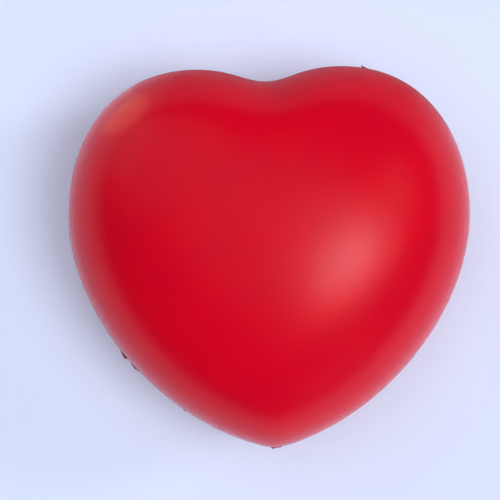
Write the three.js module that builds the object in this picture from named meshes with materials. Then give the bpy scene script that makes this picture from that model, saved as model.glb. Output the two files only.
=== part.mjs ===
// A heart-shaped foam stress ball, lying on its back.
//
// It is moulded in two halves. Each half of the mould is sprayed with red coating, which becomes
// a skin; foam then rises inside and bonds both skins into one soft body. Where the halves of the
// mould meet, a thin seam of squeezed-out film runs round the heart, with a few torn tabs of flash.
//
// Millimetres, +Z up. The origin is on the surface that the heart lies on, at the middle of its
// width and length. +Y points at the cleft between the lobes, and -Y at the tip.
import * as THREE from "three";

// ---- Driving dimensions -------------------------------------------------------------------------

const HALF_WIDTH = 35;
const HALF_LENGTH = 33.1;
const DOME_HEIGHT = 23; // from the parting plane to the crown of a dome
const BACK_FLAT_CUT = 1; // how much of the back's crown the resting flat takes away
const DOME_FULLNESS = 0.3; // 0 is an ellipse in section; more is fuller towards the rim
const CROWN_Y = 5.5; // the thickest point, between the middle and the lobes
const CROWN_RADIUS = 33; // the round form that the dome's level lines take near the crown

const SKIN = 1.2; // coating and the dense foam behind it
const CORE_GAP = 0.3; // between the skins and the foam core
const SEAM_HALF_HEIGHT = 0.3;
const SEAM_PROUD = 0.15; // how far the seam stands out from the skins
const SEAM_GAP = 0.1; // between the seam and each skin's rim
const FLASH_THICKNESS = 0.3;

const SPOKES = 60; // points round the outline
const DOME_RINGS = 10; // rings from a dome's crown to its rim

const PARTING_Z = DOME_HEIGHT - BACK_FLAT_CUT;

// ---- Outline at the parting plane ---------------------------------------------------------------

// Knots of the right half, from the tip to the cleft. `along` is the outline's direction there,
// in degrees, and `before` and `after` are the lengths of its two handles.
const KNOTS = [
  { at: [0, -HALF_LENGTH], along: 0, after: 1.4 },
  { at: [15.8, -26], along: 35.9, before: 9.5, after: 13.2 },
  { at: [HALF_WIDTH, 7.6], along: 90, before: 12.8, after: 13.8 },
  { at: [12.6, HALF_LENGTH], along: 180, before: 14.6, after: 6.6 },
  { at: [0, 30.7], along: 180, before: 3.6 },
];

function handle({ at, along }, length) {
  const angle = THREE.MathUtils.degToRad(along);
  return new THREE.Vector2(
    at[0] + length * Math.cos(angle),
    at[1] + length * Math.sin(angle),
  );
}

function rightHalf() {
  const path = new THREE.CurvePath();
  for (let i = 1; i < KNOTS.length; i++) {
    const [from, to] = [KNOTS[i - 1], KNOTS[i]];
    path.add(
      new THREE.CubicBezierCurve(
        new THREE.Vector2(...from.at),
        handle(from, from.after),
        handle(to, -to.before),
        new THREE.Vector2(...to.at),
      ),
    );
  }
  return path;
}

const HALF_OUTLINE = rightHalf();
HALF_OUTLINE.arcLengthDivisions = 400;
const OUTLINE_LENGTH = 2 * HALF_OUTLINE.getLength();

// The point at a station from 0 to 1: the tip is 0, the cleft 0.5, and the right side comes first.
function outlineAt(station) {
  const s = THREE.MathUtils.euclideanModulo(station, 1);
  const point = HALF_OUTLINE.getPointAt(s <= 0.5 ? 2 * s : 2 - 2 * s);
  return new THREE.Vector2(s <= 0.5 ? point.x : -point.x, point.y);
}

// The outline moved outwards by `offset`.
function outlineBeside(station, offset) {
  const step = 1e-3;
  const along = outlineAt(station + step).sub(outlineAt(station - step));
  const outwards = new THREE.Vector2(along.y, -along.x).normalize();
  return outlineAt(station).addScaledVector(outwards, offset);
}

// ---- Dome surface -------------------------------------------------------------------------------

// A point on a dome above the plane z = 0. `slope` is 0 at the crown and a right angle at the rim.
// Level lines are round near the crown and become the heart's outline towards the rim.
function domePoint(station, slope) {
  const reach = Math.sin(slope);
  const rim = outlineAt(station).sub(new THREE.Vector2(0, CROWN_Y));
  const round = rim.clone().setLength(CROWN_RADIUS);
  const flat = round.lerp(rim, THREE.MathUtils.smoothstep(reach, 0, 1)).multiplyScalar(reach);
  const height = DOME_HEIGHT * Math.cos(slope) * Math.sqrt(1 + DOME_FULLNESS * reach ** 2);
  return new THREE.Vector3(flat.x, CROWN_Y + flat.y, height);
}

function domeNormal(station, slope) {
  if (slope === 0) return new THREE.Vector3(0, 0, 1);
  const step = 1e-3;
  const round = domePoint(station + step, slope).sub(domePoint(station - step, slope));
  const down = domePoint(station, slope + step).sub(domePoint(station, slope - step));
  return down.cross(round).normalize();
}

// The slope at which a dome, moved inwards by `inset`, has come down to `height`.
function slopeAtHeight(height, inset = 0) {
  let [low, high] = [0, Math.PI / 2];
  const station = 0.25;
  for (let i = 0; i < 40; i++) {
    const middle = (low + high) / 2;
    const z = domePoint(station, middle).z - inset * domeNormal(station, middle).z;
    if (z > height) low = middle;
    else high = middle;
  }
  return high;
}

// One ring of points round the dome, inset from its surface.
function domeRing(slope, inset, levelZ = null) {
  const ring = [];
  for (let i = 0; i < SPOKES; i++) {
    const station = i / SPOKES;
    const point = domePoint(station, slope).addScaledVector(domeNormal(station, slope), -inset);
    if (levelZ !== null) point.z = levelZ;
    ring.push(point);
  }
  return ring;
}

// Rings from near the crown to the rim, and the point that closes them at the crown.
// `rimZ` is the height of the rim above the parting plane. `cutZ` cuts the crown off flat.
function dome({ inset, rimZ, cutZ = Infinity }) {
  const flat = cutZ < DOME_HEIGHT - inset;
  const first = flat ? slopeAtHeight(cutZ, inset) : 0;
  const last = slopeAtHeight(rimZ);
  const rings = [];
  for (let i = flat ? 0 : 1; i <= DOME_RINGS; i++) {
    const slope = THREE.MathUtils.lerp(first, last, i / DOME_RINGS);
    const level = i === DOME_RINGS ? rimZ : i === 0 ? cutZ : null;
    rings.push(domeRing(slope, inset, level));
  }
  const crown = new THREE.Vector3(0, CROWN_Y, flat ? cutZ : DOME_HEIGHT - inset);
  return { crown, rings };
}

// ---- Meshes from rings --------------------------------------------------------------------------

// A closed surface through rings of equal length: from a first pole, or closed on itself.
function loft(rings, { firstPole = null, lastPole = null } = {}) {
  const points = rings.flat();
  const count = rings[0].length;
  const at = (ring, i) => ring * count + (i % count);
  const faces = [];
  const bands = firstPole ? rings.length - 1 : rings.length;
  for (let r = 0; r < bands; r++) {
    const next = (r + 1) % rings.length;
    for (let i = 0; i < count; i++) {
      faces.push(at(r, i), at(next, i), at(next, i + 1));
      faces.push(at(r, i), at(next, i + 1), at(r, i + 1));
    }
  }
  if (firstPole) {
    const [top, bottom] = [points.length, points.length + 1];
    points.push(firstPole, lastPole);
    for (let i = 0; i < count; i++) {
      faces.push(top, at(0, i), at(0, i + 1));
      faces.push(bottom, at(rings.length - 1, i + 1), at(rings.length - 1, i));
    }
  }
  const geometry = new THREE.BufferGeometry().setFromPoints(points);
  geometry.setIndex(faces);
  geometry.computeVertexNormals();
  return geometry;
}

// ---- Sub-parts ----------------------------------------------------------------------------------

const COATING = { color: 0xd8062c, roughness: 0.42, metalness: 0 };
const FOAM = { color: 0xe25a5f, roughness: 0.95, metalness: 0 };
const FILM = { color: 0xa80a28, roughness: 0.5, metalness: 0 };

function piece(name, geometry, finish) {
  const mesh = new THREE.Mesh(geometry, new THREE.MeshStandardMaterial(finish));
  mesh.name = name;
  return mesh;
}

// A shell from the outer crown, down over the rim and back up inside.
function skinGeometry(cutZ) {
  const rimZ = SEAM_HALF_HEIGHT + SEAM_GAP;
  const outer = dome({ inset: 0, rimZ, cutZ });
  const inner = dome({ inset: SKIN, rimZ, cutZ: cutZ - SKIN });
  return loft([...outer.rings, ...inner.rings.reverse()], {
    firstPole: outer.crown,
    lastPole: inner.crown,
  });
}

function frontSkin() {
  const mesh = piece("front_skin", skinGeometry(Infinity), COATING);
  mesh.position.z = PARTING_Z;
  return mesh;
}

// The back is a dome like the front's, turned over about the Y axis, with its crown cut flat.
function backSkin() {
  const mesh = piece("back_skin", skinGeometry(PARTING_Z), COATING);
  mesh.position.z = PARTING_Z;
  mesh.rotation.y = Math.PI;
  return mesh;
}

function foamCore() {
  const inset = SKIN + CORE_GAP;
  const front = dome({ inset, rimZ: 0 });
  const back = dome({ inset, rimZ: 0, cutZ: PARTING_Z - inset });
  const turnOver = (p) => new THREE.Vector3(p.x, p.y, -p.z);
  const lower = back.rings.slice(0, -1).reverse();
  const rings = [...front.rings, ...lower.map((ring) => ring.map(turnOver))];
  const geometry = loft(rings, { firstPole: front.crown, lastPole: turnOver(back.crown) });
  const mesh = piece("foam_core", geometry, FOAM);
  mesh.position.z = PARTING_Z;
  return mesh;
}

// A band between the rims of the two skins, with a low pointed nose that stands proud of them.
function partingSeam() {
  const section = [
    [-SKIN, -SEAM_HALF_HEIGHT],
    [-SKIN, SEAM_HALF_HEIGHT],
    [0, SEAM_HALF_HEIGHT],
    [SEAM_PROUD, 0],
    [0, -SEAM_HALF_HEIGHT],
  ];
  const rings = section.map(([offset, z]) =>
    Array.from({ length: SPOKES }, (_, i) => {
      const { x, y } = outlineBeside(i / SPOKES, offset);
      return new THREE.Vector3(x, y, z);
    }),
  );
  const mesh = piece("parting_seam", loft(rings), FILM);
  mesh.position.z = PARTING_Z;
  return mesh;
}

// Torn film left on the seam's nose. `fringe` is how far the torn edge reaches past the nose, at
// even steps along the tab. `lean` moves the torn edge along the seam, for each unit of its reach.
const FLASH_TABS = [
  {
    name: "flash_tab_right_lobe",
    station: 0.4178,
    length: 1.5,
    lean: 1.2,
    fringe: [0.04, 0.1, 0.18, 0.34, 0.05],
  },
  {
    name: "flash_tab_left_upper",
    station: 0.8541,
    length: 2.3,
    lean: 0.2,
    fringe: [0.06, 0.16, 0.24, 0.36, 0.1],
  },
  {
    name: "flash_tab_left_lower",
    station: 0.8687,
    length: 2.8,
    lean: 0,
    fringe: [0.14, 0.26, 0.2, 0.12, 0.04],
  },
  {
    name: "flash_tab_left_flank",
    station: 0.9215,
    length: 1.2,
    lean: 0,
    fringe: [0.05, 0.14, 0.08, 0.04],
  },
  {
    name: "flash_tab_tip",
    station: 0.0015,
    length: 2.4,
    lean: 0,
    fringe: [0.05, 0.24, 0.08, 0.16, 0.04],
  },
];

function flashTab({ name, station, length, lean, fringe }) {
  const beside = (i, reach) => {
    const along = length * (i / (fringe.length - 1) - 0.5) + lean * reach;
    return outlineBeside(station + along / OUTLINE_LENGTH, SEAM_PROUD + reach);
  };
  const rootEdge = fringe.map((_, i) => beside(i, 0));
  const tornEdge = fringe.map((reach, i) => beside(i, reach));
  const outline = new THREE.Shape([...rootEdge.reverse(), ...tornEdge]);
  const geometry = new THREE.ExtrudeGeometry(outline, {
    depth: FLASH_THICKNESS,
    bevelEnabled: false,
  });
  const mesh = piece(name, geometry, FILM);
  mesh.position.z = PARTING_Z - FLASH_THICKNESS / 2;
  return mesh;
}

// ---- The whole ball -----------------------------------------------------------------------------

const ball = new THREE.Group();
ball.add(backSkin(), foamCore(), partingSeam(), ...FLASH_TABS.map(flashTab), frontSkin());

export default ball;
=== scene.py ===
"""The looks of a heart-shaped foam stress ball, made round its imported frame. Metres, +Z up."""

import math

import bmesh
import bpy
import numpy as np
from mathutils import Matrix, Vector, noise


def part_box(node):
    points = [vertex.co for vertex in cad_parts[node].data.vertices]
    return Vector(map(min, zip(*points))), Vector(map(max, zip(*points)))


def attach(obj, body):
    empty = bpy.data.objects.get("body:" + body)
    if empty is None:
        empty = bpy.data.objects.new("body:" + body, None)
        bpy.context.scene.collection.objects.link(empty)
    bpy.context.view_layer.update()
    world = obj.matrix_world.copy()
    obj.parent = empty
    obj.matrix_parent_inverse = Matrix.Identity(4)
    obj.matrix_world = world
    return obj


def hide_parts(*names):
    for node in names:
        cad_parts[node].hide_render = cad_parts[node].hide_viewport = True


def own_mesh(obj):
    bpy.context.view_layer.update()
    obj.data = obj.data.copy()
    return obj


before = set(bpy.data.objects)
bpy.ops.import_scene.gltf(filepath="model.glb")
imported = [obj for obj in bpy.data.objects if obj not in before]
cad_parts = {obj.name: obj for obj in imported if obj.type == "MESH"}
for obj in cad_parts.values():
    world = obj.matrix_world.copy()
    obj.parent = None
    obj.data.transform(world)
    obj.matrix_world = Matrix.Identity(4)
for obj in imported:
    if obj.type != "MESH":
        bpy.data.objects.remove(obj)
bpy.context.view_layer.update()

MM = 0.001
RIGHT_ANGLE = math.pi / 2

# ---- Sizes: the frame's, then those that part.mjs gives the heart --------------------------------

FRONT_LOW, FRONT_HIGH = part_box("front_skin")
SEAM_LOW, SEAM_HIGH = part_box("parting_seam")
THICKNESS = FRONT_HIGH.z
PARTING_Z = (SEAM_LOW.z + SEAM_HIGH.z) / 2
DOME_HEIGHT = THICKNESS - PARTING_Z
RIM_Z = FRONT_LOW.z - PARTING_Z  # how far each skin's rim stays from the parting plane

HALF_WIDTH = 35 * MM
HALF_LENGTH = 33.1 * MM
DOME_FULLNESS = 0.3
CROWN = np.array([0, 5.5 * MM])
CROWN_RADIUS = 33 * MM
SKIN = 1.2 * MM
CORE_GAP = 0.3 * MM
FLASH_THICKNESS = 0.3 * MM

# Knots of the right half of the outline, from the tip to the cleft: place, direction in degrees,
# and the lengths of the handles before and after it.
KNOTS = (
    ((0, -HALF_LENGTH), 0, 0, 1.4 * MM),
    ((15.8 * MM, -26 * MM), 35.9, 9.5 * MM, 13.2 * MM),
    ((HALF_WIDTH, 7.6 * MM), 90, 12.8 * MM, 13.8 * MM),
    ((12.6 * MM, HALF_LENGTH), 180, 14.6 * MM, 6.6 * MM),
    ((0, 30.7 * MM), 180, 3.6 * MM, 0),
)

SPOKES = 360
DOME_RINGS = 72

# ---- Camera -------------------------------------------------------------------------------------

CAMERA_ABOVE_SEAM = 320 * MM
CLIP_NEAR = 10 * MM
CLIP_FAR = 20
VIEW_WIDTH = 87.45 * MM  # what the square picture spans at the seam's height
HEART_LEANS = math.radians(1.4)  # to the left in the picture
HEART_RIGHT_OF_MIDDLE = 3.53 * MM
HEART_BELOW_MIDDLE = 1.35 * MM


def camera():
    data = bpy.data.cameras.new("camera")
    data.angle = 2 * math.atan(VIEW_WIDTH / 2 / CAMERA_ABOVE_SEAM)
    data.clip_start = CLIP_NEAR
    data.clip_end = CLIP_FAR
    obj = bpy.data.objects.new("camera", data)
    right = Vector((math.cos(HEART_LEANS), -math.sin(HEART_LEANS), 0))
    up = Vector((math.sin(HEART_LEANS), math.cos(HEART_LEANS), 0))
    middle = -HEART_RIGHT_OF_MIDDLE * right + HEART_BELOW_MIDDLE * up
    obj.location = (middle.x, middle.y, PARTING_Z + CAMERA_ABOVE_SEAM)
    obj.rotation_euler = (0, 0, -HEART_LEANS)
    bpy.context.scene.collection.objects.link(obj)
    bpy.context.scene.camera = obj


camera()

# ---- The heart's outline and surface -------------------------------------------------------------


def bezier(start, start_handle, end_handle, end, count):
    t = np.linspace(0, 1, count)[:, None]
    return (
        (1 - t) ** 3 * start
        + 3 * (1 - t) ** 2 * t * start_handle
        + 3 * (1 - t) * t**2 * end_handle
        + t**3 * end
    )


POINTS_PER_CURVE = 2000


def right_half():
    """The right half of the outline as points, and how far along it each lies."""
    curves = []
    for (a, a_along, _, a_after), (b, b_along, b_before, _) in zip(KNOTS, KNOTS[1:]):
        a_way, b_way = (
            np.array([math.cos(math.radians(w)), math.sin(math.radians(w))])
            for w in (a_along, b_along)
        )
        a, b = np.array(a), np.array(b)
        curves.append(bezier(a, a + a_after * a_way, b - b_before * b_way, b, POINTS_PER_CURVE))
    points = np.vstack(curves)
    steps = np.linalg.norm(np.diff(points, axis=0), axis=1)
    return points, np.concatenate([[0], np.cumsum(steps)])


HALF_POINTS, HALF_DISTANCES = right_half()
OUTLINE_LENGTH = 2 * HALF_DISTANCES[-1]


def outline(stations):
    """Points of the outline. Station 0 is the tip and 0.5 the cleft, with the right side first."""
    s = np.mod(stations, 1)
    on_right = s <= 0.5
    distance = np.where(on_right, 2 * s, 2 - 2 * s) * HALF_DISTANCES[-1]
    x = np.interp(distance, HALF_DISTANCES, HALF_POINTS[:, 0])
    y = np.interp(distance, HALF_DISTANCES, HALF_POINTS[:, 1])
    return np.stack([np.where(on_right, x, -x), y], axis=-1)


STEP = 1e-3  # the step, in stations or in radians of slope, over which directions are measured


def outline_beside(stations, offset):
    """Points of the outline moved outwards by `offset`."""
    along = outline(stations + STEP) - outline(stations - STEP)
    way = np.stack([along[..., 1], -along[..., 0]], axis=-1)
    way /= np.linalg.norm(way, axis=-1, keepdims=True)
    return outline(stations) + way * np.broadcast_to(offset, np.shape(stations))[..., None]


ROUNDING = 7 * MM  # how far along the outline, either way, its tip and cleft are rounded over
ROUNDING_STEPS = np.linspace(-1, 1, 13)
CORNER_SHARPNESS = 16  # the higher, the sooner the tip and the cleft round off above the rim


def rounded_outline(stations):
    """The outline as the level lines inside it have it, with the tip and the cleft rounded off."""
    weights = 1 - ROUNDING_STEPS**2
    weights /= weights.sum()
    shifts = ROUNDING_STEPS * ROUNDING / OUTLINE_LENGTH
    return sum(w * outline(stations + shift) for w, shift in zip(weights, shifts))


def dome_points(stations, slopes):
    """Points above the plane z = 0. A slope is 0 at the crown and a right angle at the rim.

    Level lines are round near the crown and become the heart's outline towards the rim.
    """
    reach = np.sin(slopes)
    sharp = (reach**CORNER_SHARPNESS)[..., None]
    rim = outline(stations) * sharp + rounded_outline(stations) * (1 - sharp) - CROWN
    round_form = rim / np.linalg.norm(rim, axis=-1, keepdims=True) * CROWN_RADIUS
    share = (reach**2 * (3 - 2 * reach))[..., None]
    flat = (round_form * (1 - share) + rim * share) * reach[..., None]
    height = DOME_HEIGHT * np.cos(slopes) * np.sqrt(1 + DOME_FULLNESS * reach**2)
    return np.concatenate([flat + CROWN, height[..., None]], axis=-1)


def dome_normals(stations, slopes):
    slopes = np.maximum(slopes, STEP)
    across = dome_points(stations + STEP, slopes) - dome_points(stations - STEP, slopes)
    down = dome_points(stations, slopes + STEP) - dome_points(stations, slopes - STEP)
    normal = np.cross(down, across)
    return normal / np.linalg.norm(normal, axis=-1, keepdims=True)


HALVINGS = 40
RIGHT_SIDE = np.array(0.25)


def slope_at_height(height, inset=0.0):
    """The slope at which a dome, moved inwards by `inset`, has come down to `height`."""
    low, high = 0.0, RIGHT_ANGLE
    for _ in range(HALVINGS):
        middle = np.array((low + high) / 2)
        z = dome_points(RIGHT_SIDE, middle)[2] - inset * dome_normals(RIGHT_SIDE, middle)[2]
        low, high = (float(middle), high) if z > height else (low, float(middle))
    return high


def dome_rings(inset, rim_z, cut_z=None, rings=DOME_RINGS, relief=None):
    """Rings of points from the crown, or from the edge of its flat, to the rim.

    `relief` gives how far each point stands out from the smooth surface.
    """
    first = slope_at_height(cut_z, inset) if cut_z is not None else RIGHT_ANGLE / rings
    slopes = np.linspace(first, slope_at_height(rim_z), rings)
    grid_slopes, grid_stations = np.meshgrid(slopes, np.arange(SPOKES) / SPOKES, indexing="ij")
    points = dome_points(grid_stations, grid_slopes)
    normals = dome_normals(grid_stations, grid_slopes)
    points -= inset * normals
    if relief:
        points += relief(points)[..., None] * normals
    points[-1, :, 2] = rim_z
    if cut_z is not None:
        points[0, :, 2] = cut_z
    return points


# ---- Meshes -------------------------------------------------------------------------------------


def loft_faces(rings, spokes, closed=False):
    """Faces between neighbouring rings, and from the last to the first if `closed`."""
    faces = []
    for r in range(rings if closed else rings - 1):
        for i in range(spokes):
            j = (i + 1) % spokes
            upper, lower = r * spokes, ((r + 1) % rings) * spokes
            faces.append((upper + i, lower + i, lower + j, upper + j))
    return faces


def capped_loft(rings, first_pole, last_pole):
    """Points and faces of a closed surface through the rings, from one pole to the other."""
    count, spokes, _ = rings.shape
    points = np.vstack([rings.reshape(-1, 3), [first_pole, last_pole]])
    faces = loft_faces(count, spokes)
    top, bottom, last = count * spokes, count * spokes + 1, (count - 1) * spokes
    for i in range(spokes):
        j = (i + 1) % spokes
        faces.append((top, i, j))
        faces.append((bottom, last + j, last + i))
    return points, faces


SHARP_EDGE = math.radians(50)


def new_piece(name, points, faces, material):
    mesh = bpy.data.meshes.new(name)
    mesh.from_pydata([tuple(p) for p in points], [], faces)
    mesh.materials.append(material)
    mesh.polygons.foreach_set("use_smooth", [True] * len(mesh.polygons))
    mesh.set_sharp_from_angle(angle=SHARP_EDGE)
    obj = bpy.data.objects.new(name, mesh)
    bpy.context.scene.collection.objects.link(obj)
    return obj


def to_parting_plane(obj, turned_over=False):
    """Moves a mesh made round z = 0 to the parting plane."""
    turn = Matrix.Rotation(math.pi if turned_over else 0, 4, "Y")
    obj.data.transform(Matrix.Translation((0, 0, PARTING_Z)) @ turn)


def noise_at(points, wavelength):
    """Smooth noise from about -1 to 1 at each point."""
    flat = points.reshape(-1, 3) / wavelength
    return np.array([noise.noise(Vector(p)) for p in flat]).reshape(points.shape[:-1])


# ---- Materials ----------------------------------------------------------------------------------


class NodeMaterial:
    """A material built round one Principled shader, with short calls for its procedural nodes."""

    MIX_FIRST, MIX_SECOND, MIX_RESULT = 6, 7, 2  # the colour sockets of a Mix node

    def __init__(self, name, roughness, ior):
        self.material = bpy.data.materials.new(name)
        self.material.use_nodes = True
        self.nodes = self.material.node_tree.nodes
        self.shader = self.nodes["Principled BSDF"]
        self.shader.inputs["Roughness"].default_value = roughness
        self.shader.inputs["IOR"].default_value = ior
        self.place = self.nodes.new("ShaderNodeTexCoord").outputs["Object"]

    def link(self, source, target):
        self.material.node_tree.links.new(source, target)

    def noise(self, wavelength, detail=2.0, distortion=0.0):
        node = self.nodes.new("ShaderNodeTexNoise")
        self.link(self.place, node.inputs["Vector"])
        node.inputs["Scale"].default_value = 1 / wavelength
        node.inputs["Detail"].default_value = detail
        node.inputs["Distortion"].default_value = distortion
        return node.outputs["Fac"]

    def cells(self, width):
        node = self.nodes.new("ShaderNodeTexVoronoi")
        self.link(self.place, node.inputs["Vector"])
        node.inputs["Scale"].default_value = 1 / width
        return node.outputs["Distance"]

    def remap(self, value, from_low, from_high, to_low, to_high):
        node = self.nodes.new("ShaderNodeMapRange")
        self.link(value, node.inputs["Value"])
        for name, bound in (
            ("From Min", from_low),
            ("From Max", from_high),
            ("To Min", to_low),
            ("To Max", to_high),
        ):
            node.inputs[name].default_value = bound
        return node.outputs["Result"]

    def product(self, a, b):
        node = self.nodes.new("ShaderNodeMath")
        node.operation = "MULTIPLY"
        self.link(a, node.inputs[0])
        self.link(b, node.inputs[1])
        return node.outputs["Value"]

    def height_above_floor(self):
        node = self.nodes.new("ShaderNodeSeparateXYZ")
        self.link(self.place, node.inputs[0])
        return node.outputs["Z"]

    def mix(self, share, first, second):
        """A colour between two, each a tuple or another node's output."""
        node = self.nodes.new("ShaderNodeMix")
        node.data_type = "RGBA"
        self.link(share, node.inputs["Factor"])
        for place, colour in ((self.MIX_FIRST, first), (self.MIX_SECOND, second)):
            socket = node.inputs[place]
            if isinstance(colour, tuple):
                socket.default_value = (*colour, 1)
            else:
                self.link(colour, socket)
        return node.outputs[self.MIX_RESULT]

    def bump(self, height, depth, after=None):
        """Small relief `depth` metres deep, laid over the relief of `after`."""
        node = self.nodes.new("ShaderNodeBump")
        self.link(height, node.inputs["Height"])
        node.inputs["Distance"].default_value = depth
        if after:
            self.link(after, node.inputs["Normal"])
        return node.outputs["Normal"]

    def finish(self, colour, normal, roughness=None):
        self.link(colour, self.shader.inputs["Base Color"])
        self.link(normal, self.shader.inputs["Normal"])
        if roughness:
            self.link(roughness, self.shader.inputs["Roughness"])
        return self.material


def coating_material():
    """Sprayed red coating: satin, with faint orange peel, and rubbed dull where the ball rests."""
    m = NodeMaterial("satin_coating", roughness=0.25, ior=1.28)
    mottle = m.remap(m.noise(9 * MM), 0.3, 0.7, 0, 1)
    red = m.mix(mottle, (0.72, 0.0008, 0.015), (0.68, 0.001, 0.018))
    low = m.remap(m.height_above_floor(), 0.1 * MM, 0.7 * MM, 1, 0)
    scuffs = m.remap(m.noise(2.2 * MM, detail=6, distortion=3), 0.5, 0.75, 0, 1)
    rubbed = m.product(low, scuffs)
    colour = m.mix(rubbed, red, (0.74, 0.06, 0.075))
    roughness = m.remap(m.noise(11 * MM, detail=1), 0.3, 0.7, 0.24, 0.26)
    peel = m.bump(m.noise(0.45 * MM), 0.0022 * MM)
    ripples = m.bump(m.noise(4.5 * MM, detail=1), 0.012 * MM, after=peel)
    return m.finish(colour, ripples, roughness)


def foam_material():
    """Open-celled foam under the skins."""
    m = NodeMaterial("soft_foam", roughness=0.9, ior=1.4)
    cells = m.cells(0.5 * MM)
    share = m.remap(cells, 0.1, 0.6, 0, 1)
    colour = m.mix(share, (0.5, 0.06, 0.06), (0.8, 0.16, 0.14))
    return m.finish(colour, m.bump(cells, 0.15 * MM))


def seam_material():
    """The film of coating along the parting line."""
    m = NodeMaterial("seam_film", roughness=0.34, ior=1.24)
    wear = m.remap(m.noise(0.8 * MM, detail=4), 0.35, 0.65, 0, 1)
    colour = m.mix(wear, (0.6, 0.001, 0.016), (0.5, 0.001, 0.018))
    return m.finish(colour, m.bump(m.noise(0.3 * MM), 0.008 * MM))


def shaded_torn_material():
    """Thin torn film, coloured far darker than the coating: the dark colour is painted shade, for
    the shade these slivers lie in below the ball's widest part.
    """
    m = NodeMaterial("shaded_torn_film", roughness=0.4, ior=1.24)
    share = m.remap(m.noise(0.4 * MM, detail=4), 0.35, 0.65, 0, 1)
    # Painted shade: both reds are far darker than the coating's, standing in for the shade under
    # the widest part.
    colour = m.mix(share, (0.16, 0.001, 0.05), (0.26, 0.001, 0.07))
    return m.finish(colour, m.bump(m.noise(0.2 * MM), 0.02 * MM))


BOARD_COLOURS = ((0.685, 0.775, 0.98), (0.7, 0.79, 0.995))
GLOW_COLOUR = (0.5, 0.62, 1)
FLOOR_GLOW = 0.13


def floor_material():
    """A smooth white board, with a faint glow that keeps the shadow on it light."""
    m = NodeMaterial("pale_board", roughness=0.8, ior=1.4)
    mottle = m.remap(m.noise(30 * MM, detail=4), 0.3, 0.7, 0, 1)
    colour = m.mix(mottle, *BOARD_COLOURS)
    m.shader.inputs["Emission Color"].default_value = (*GLOW_COLOUR, 1)
    m.shader.inputs["Emission Strength"].default_value = FLOOR_GLOW
    return m.finish(colour, m.bump(m.noise(0.8 * MM, detail=4), 0.02 * MM))


def card_material(tone):
    """A matt card, `tone` times as light as the board."""
    m = NodeMaterial("grey_card", roughness=0.9, ior=1.4)
    mottle = m.remap(m.noise(20 * MM), 0.3, 0.7, 0, 1)
    darker, lighter = (tuple(tone * c for c in colour) for colour in BOARD_COLOURS)
    colour = m.mix(mottle, darker, lighter)
    return m.finish(colour, m.bump(m.noise(0.8 * MM), 0.02 * MM))


# ---- Skins and core ------------------------------------------------------------------------------

UNEVENNESS = 0.03 * MM
UNEVEN_WAVELENGTH = 14 * MM
FADE_HEIGHT = 4 * MM  # the skin is true at its rim, and reaches its full unevenness this far above


def skin_relief(points):
    fade = np.clip(points[..., 2] / FADE_HEIGHT, 0, 1)
    return UNEVENNESS * fade * noise_at(points, UNEVEN_WAVELENGTH)


def skin(name, material, cut_z=None):
    outer = dome_rings(0, RIM_Z, cut_z, relief=skin_relief)
    inner_cut = None if cut_z is None else cut_z - SKIN
    inner = dome_rings(SKIN, RIM_Z, inner_cut, rings=DOME_RINGS // 3)
    outer_crown = [*CROWN, DOME_HEIGHT if cut_z is None else cut_z]
    inner_crown = [*CROWN, outer_crown[2] - SKIN]
    rings = np.concatenate([outer, inner[::-1]])
    return new_piece(name, *capped_loft(rings, outer_crown, inner_crown), material)


NIB_RADIUS = 0.22 * MM
NIB_HEIGHT = 0.05 * MM
NIB_PATCH = 1.2 * MM  # the radius of the finer patch of mesh under it
NIB_CUTS = 7


def raise_nib(mesh, x, y):
    """A small blob of dried coating on the front, on a patch of finer faces."""
    bm = bmesh.new()
    bm.from_mesh(mesh)

    def distance(vert):
        return math.hypot(vert.co.x - x, vert.co.y - y) if vert.normal.z > 0 else math.inf

    patch = {edge for v in bm.verts if distance(v) < NIB_PATCH for edge in v.link_edges}
    bmesh.ops.subdivide_edges(bm, edges=list(patch), cuts=NIB_CUTS, use_grid_fill=True)
    bm.normal_update()
    raised = [(v, distance(v)) for v in bm.verts if distance(v) < NIB_PATCH]
    moves = [(v, v.normal * NIB_HEIGHT * math.exp(-((d / NIB_RADIUS) ** 2))) for v, d in raised]
    for vert, move in moves:
        vert.co += move
    bm.to_mesh(mesh)
    bm.free()


def flatten_with_squeeze(obj):
    """Gives a piece a mesh of its own, which no other object shares."""
    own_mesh(obj)


NIBS = ((-14.8 * MM, 26.6 * MM), (11.9 * MM, 22.7 * MM))


def front_skin(material):
    obj = skin("front_skin_fine", material)
    for nib in NIBS:
        raise_nib(obj.data, *nib)
    to_parting_plane(obj)
    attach(obj, "front")
    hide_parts("front_skin")
    flatten_with_squeeze(obj)


def back_skin(material):
    obj = skin("back_skin_fine", material, cut_z=PARTING_Z)
    to_parting_plane(obj, turned_over=True)
    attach(obj, "back")
    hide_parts("back_skin")
    flatten_with_squeeze(obj)


PIT_DEPTH = 0.25 * MM
PIT_SPACING = 2.4 * MM


def foam_pits(points):
    """The foam's larger open cells, as pits in the core's surface."""
    flat = points.reshape(-1, 3) / PIT_SPACING
    nearest = np.array([noise.voronoi(Vector(p))[0][0] for p in flat])
    depth = np.clip(1 - 2 * nearest, 0, 1)
    return -PIT_DEPTH * depth.reshape(points.shape[:-1])


def foam_core(material):
    inset = SKIN + CORE_GAP
    front = dome_rings(inset, 0, relief=foam_pits)
    back = dome_rings(inset, 0, PARTING_Z - inset, relief=foam_pits)
    lower = back[-2::-1] * np.array([1, 1, -1])
    front_crown = [*CROWN, DOME_HEIGHT - inset]
    back_crown = [*CROWN, inset - PARTING_Z]
    rings = np.concatenate([front, lower])
    obj = new_piece("foam_core_fine", *capped_loft(rings, front_crown, back_crown), material)
    to_parting_plane(obj)
    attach(obj, "back")
    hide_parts("foam_core")
    flatten_with_squeeze(obj)


# ---- Seam and flash ------------------------------------------------------------------------------

SEAM_SPOKES = 720
SEAM_PROUD = 0.1 * MM
SEAM_UNEVENNESS = 0.04 * MM

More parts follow.
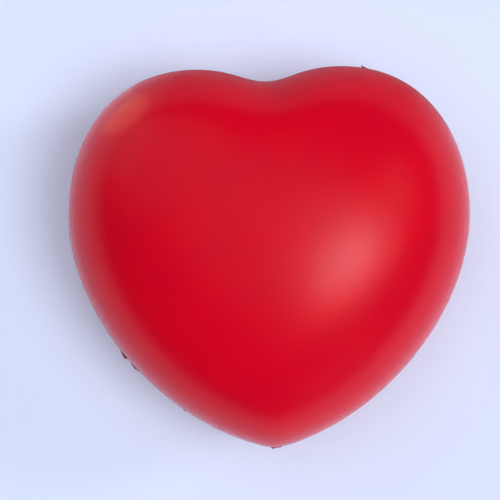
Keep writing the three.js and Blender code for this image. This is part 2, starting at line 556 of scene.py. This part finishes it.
# The seam's section, from inside the heart and down over the ridge: which points are inside, and
# shares of the ridge's reach and of the seam's half height.
SEAM_SECTION = (
    (True, 0, -1),
    (True, 0, 1),
    (False, 0, 1),
    (False, 0.55, 0.45),
    (False, 1, 0.12),
    (False, 1, -0.12),
    (False, 0.55, -0.45),
    (False, 0, -1),
)


def parting_seam(material):
    """A low uneven ridge of film that closes the gap between the two skins' rims."""
    stations = np.arange(SEAM_SPOKES) / SEAM_SPOKES
    along = np.concatenate([outline(stations), np.zeros((SEAM_SPOKES, 1))], axis=1)
    ridge = SEAM_PROUD + SEAM_UNEVENNESS * noise_at(along, 3 * MM)
    rings = []
    for inside, reach, rise in SEAM_SECTION:
        points = outline_beside(stations, -SKIN if inside else ridge * reach)
        rings.append(np.column_stack([points, np.full(SEAM_SPOKES, rise * RIM_Z)]))
    faces = loft_faces(len(rings), SEAM_SPOKES, closed=True)
    obj = new_piece("parting_seam_fine", np.vstack(rings), faces, material)
    to_parting_plane(obj)
    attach(obj, "waist")
    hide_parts("parting_seam")
    flatten_with_squeeze(obj)


# Each tab: its place along the seam, its length, how far its torn edge leans along the seam for
# each unit of its reach, how far it curls up, and its reach at even steps. The last four in mm.
FLASH_TABS = {
    "right_lobe": (0.4178, 1.5, 1.2, 0.15, (0, 0.12, 0.22, 0.42, 0.02)),
    "left_upper": (0.8541, 2.3, 0.2, 0.1, (0, 0.2, 0.3, 0.44, 0.04)),
    "left_lower": (0.8687, 2.9, 0, -0.1, (0.02, 0.24, 0.28, 0.16, 0.04)),
    "left_flank": (0.9215, 1.2, 0, 0.05, (0, 0.18, 0.1, 0)),
    "tip": (0.0015, 2.4, 0, 0.05, (0, 0.3, 0.1, 0.2, 0)),
}
TAB_COLUMNS = 49
TAB_ROWS = 7
TAB_TORN_THICKNESS = 0.05 * MM
TAB_RAGGEDNESS = 0.15  # of its reach
TAB_RAG_WAVELENGTH = 0.16 * MM
TAB_ROOT = 0.04 * MM  # from the skins' rim, which is inside the seam's ridge


def flash_tab(name, material):
    """A sliver of torn film: thick at its root on the seam, thin and ragged at its edge."""
    station, length, lean, curl, fringe = FLASH_TABS[name]
    along = np.linspace(-0.5, 0.5, TAB_COLUMNS)
    reach = np.interp(along, np.linspace(-0.5, 0.5, len(fringe)), fringe) * MM
    places = np.column_stack([along * length * MM, np.full((TAB_COLUMNS, 2), station)])
    reach *= 1 + TAB_RAGGEDNESS * noise_at(places, TAB_RAG_WAVELENGTH)
    taper = np.clip(4 * (0.5 - np.abs(along)), 0.1, 1)
    section = []
    for side, shares in ((1, np.linspace(1, 0, TAB_ROWS)), (-1, np.linspace(0, 1, TAB_ROWS))):
        for share in shares:
            spot = station + (along * length * MM + lean * reach * share) / OUTLINE_LENGTH
            flat = outline_beside(spot, TAB_ROOT + reach * share)
            thickness = FLASH_THICKNESS + (TAB_TORN_THICKNESS - FLASH_THICKNESS) * share
            height = curl * MM * share**2 + side * taper * thickness / 2
            section.append(np.column_stack([flat, height]))
    rings = np.stack(section, axis=1)
    faces_and_points = capped_loft(rings, rings[0].mean(axis=0), rings[-1].mean(axis=0))
    obj = new_piece(f"flash_tab_{name}_fine", *faces_and_points, material)
    to_parting_plane(obj)
    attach(obj, "waist")
    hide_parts(f"flash_tab_{name}")


# ---- Floor and lights ----------------------------------------------------------------------------


def direction(elevation, azimuth):
    """A unit vector, from degrees above the floor and degrees from +X towards +Y."""
    e, a = math.radians(elevation), math.radians(azimuth)
    return Vector((math.cos(e) * math.cos(a), math.cos(e) * math.sin(a), math.sin(e)))


FLOOR_HALF = 3.0
FLOOR_GAP = 0.02 * MM  # keeps the floor out of the plane of the ball's flat


def floor():
    corners = ((-1, -1), (1, -1), (1, 1), (-1, 1))
    points = [(x * FLOOR_HALF, y * FLOOR_HALF, -FLOOR_GAP) for x, y in corners]
    new_piece("floor", points, [(0, 1, 2, 3)], floor_material())


CARD_NEAR = 42 * MM
CARD_FAR = 600 * MM
CARD_SPACING = 0.3 * MM

# Each card's right and left side, in degrees from +X towards +Y, and its tone.
CARDS = ((32, 126, 0.8), (37, 121, 0.65), (42, 116, 0.5), (47, 111, 0.32))


def dark_cards():
    """Stacked cards on the floor above the lobes, which darken the rims that mirror them.

    They are seen only as a reflection. Each is narrower and darker than the one below it.
    """
    for layer, (right, left, tone) in enumerate(CARDS, start=1):
        lift = Vector((0, 0, layer * CARD_SPACING))
        corners = ((right, CARD_NEAR), (right, CARD_FAR), (left, CARD_FAR), (left, CARD_NEAR))
        points = [direction(0, side) * distance + lift for side, distance in corners]
        card = new_piece(f"dark_card_{layer}", points, [(0, 1, 2, 3)], card_material(tone))
        card.visible_camera = False
        card.visible_diffuse = False
        card.visible_shadow = False


LIGHT_DISTANCE = 1.2
FEATHERING = (1.15, 0.95, 0.7)  # the sizes of the ovals that one soft light is made of


def soft_light(
    name,
    elevation,
    azimuth,
    widths,
    irradiance,
    turn=0,
    gloss=False,
    colour=(1, 1, 1),
    aim=(0, 0, PARTING_Z),
    distance=LIGHT_DISTANCE,
):
    """Nested ovals that make one light with a soft edge, `widths` degrees across and up.

    `turn` is how far they are turned, in degrees from level.
    `irradiance` is what they give together to a surface that faces them. A light either lights
    surfaces, or only shows as a reflection if `gloss` is set.
    """
    way = direction(elevation, azimuth)
    facing = way.to_track_quat("Z", "Y").to_matrix().to_4x4()
    facing @= Matrix.Rotation(math.radians(turn), 4, "Z")
    for share in FEATHERING:
        data = bpy.data.lights.new(name, "AREA")
        data.shape = "ELLIPSE"
        data.size, data.size_y = (
            2 * distance * math.tan(math.radians(share * width / 2)) for width in widths
        )
        nearness = 1 + data.size * data.size_y / (2 * distance) ** 2
        data.energy = irradiance / len(FEATHERING) * nearness * (2 * distance) ** 2
        data.color = colour
        obj = bpy.data.objects.new(name, data)
        obj.visible_glossy = gloss
        obj.visible_diffuse = not gloss
        obj.visible_camera = False
        obj.matrix_world = Matrix.Translation(way * distance + Vector(aim)) @ facing
        bpy.context.scene.collection.objects.link(obj)


SKY_COLOUR = (0.8, 0.88, 1)
SKY_STRENGTH = 0.03
WARM_COLOUR = (1, 0.45, 0.18)
WARM_PATCH = (-24 * MM, 27 * MM, 33 * MM)  # where the heart mirrors something warm beside it
WARM_DISTANCE = 55 * MM


def studio():
    world = bpy.data.worlds.new("studio")
    bpy.context.scene.world = world
    world.use_nodes = True
    background = world.node_tree.nodes["Background"]
    background.inputs["Color"].default_value = (*SKY_COLOUR, 1)
    background.inputs["Strength"].default_value = SKY_STRENGTH
    soft_light("overhead", 90, 0, (50, 50), 1.42)
    soft_light("key", 70, -15, (25, 25), 1.0)
    soft_light("right_fill", 34, 14, (15, 15), 0.5)
    soft_light("left_fill", 60, 125, (50, 50), 0.65)
    soft_light("low_left_fill", 30, 145, (50, 50), 0.5)
    soft_light("front_fill", 10, -58, (30, 30), 0.68)
    soft_light("key_glint", 54, -21, (38, 32), 1.3, turn=-40, gloss=True)
    soft_light("key_core", 58, -24, (25, 16), 0.8, turn=-40, gloss=True)
    soft_light("left_glint", 36, 136, (48, 48), 0.46, gloss=True)
    soft_light("low_left_glint", 10, 145, (30, 30), 0.25, gloss=True)
    soft_light(
        "warm_glint",
        -22,
        134,
        (30, 44),
        1.9,
        gloss=True,
        colour=WARM_COLOUR,
        aim=WARM_PATCH,
        distance=WARM_DISTANCE,
    )
    bpy.context.scene.view_settings.view_transform = "Standard"


# ---- The whole ball -----------------------------------------------------------------------------

coating = coating_material()
front_skin(coating)
back_skin(coating)
foam_core(foam_material())
parting_seam(seam_material())
# The flash tabs' film, its colour darkened with painted shade.
torn = shaded_torn_material()
for tab in FLASH_TABS:
    flash_tab(tab, torn)
floor()
dark_cards()
studio()
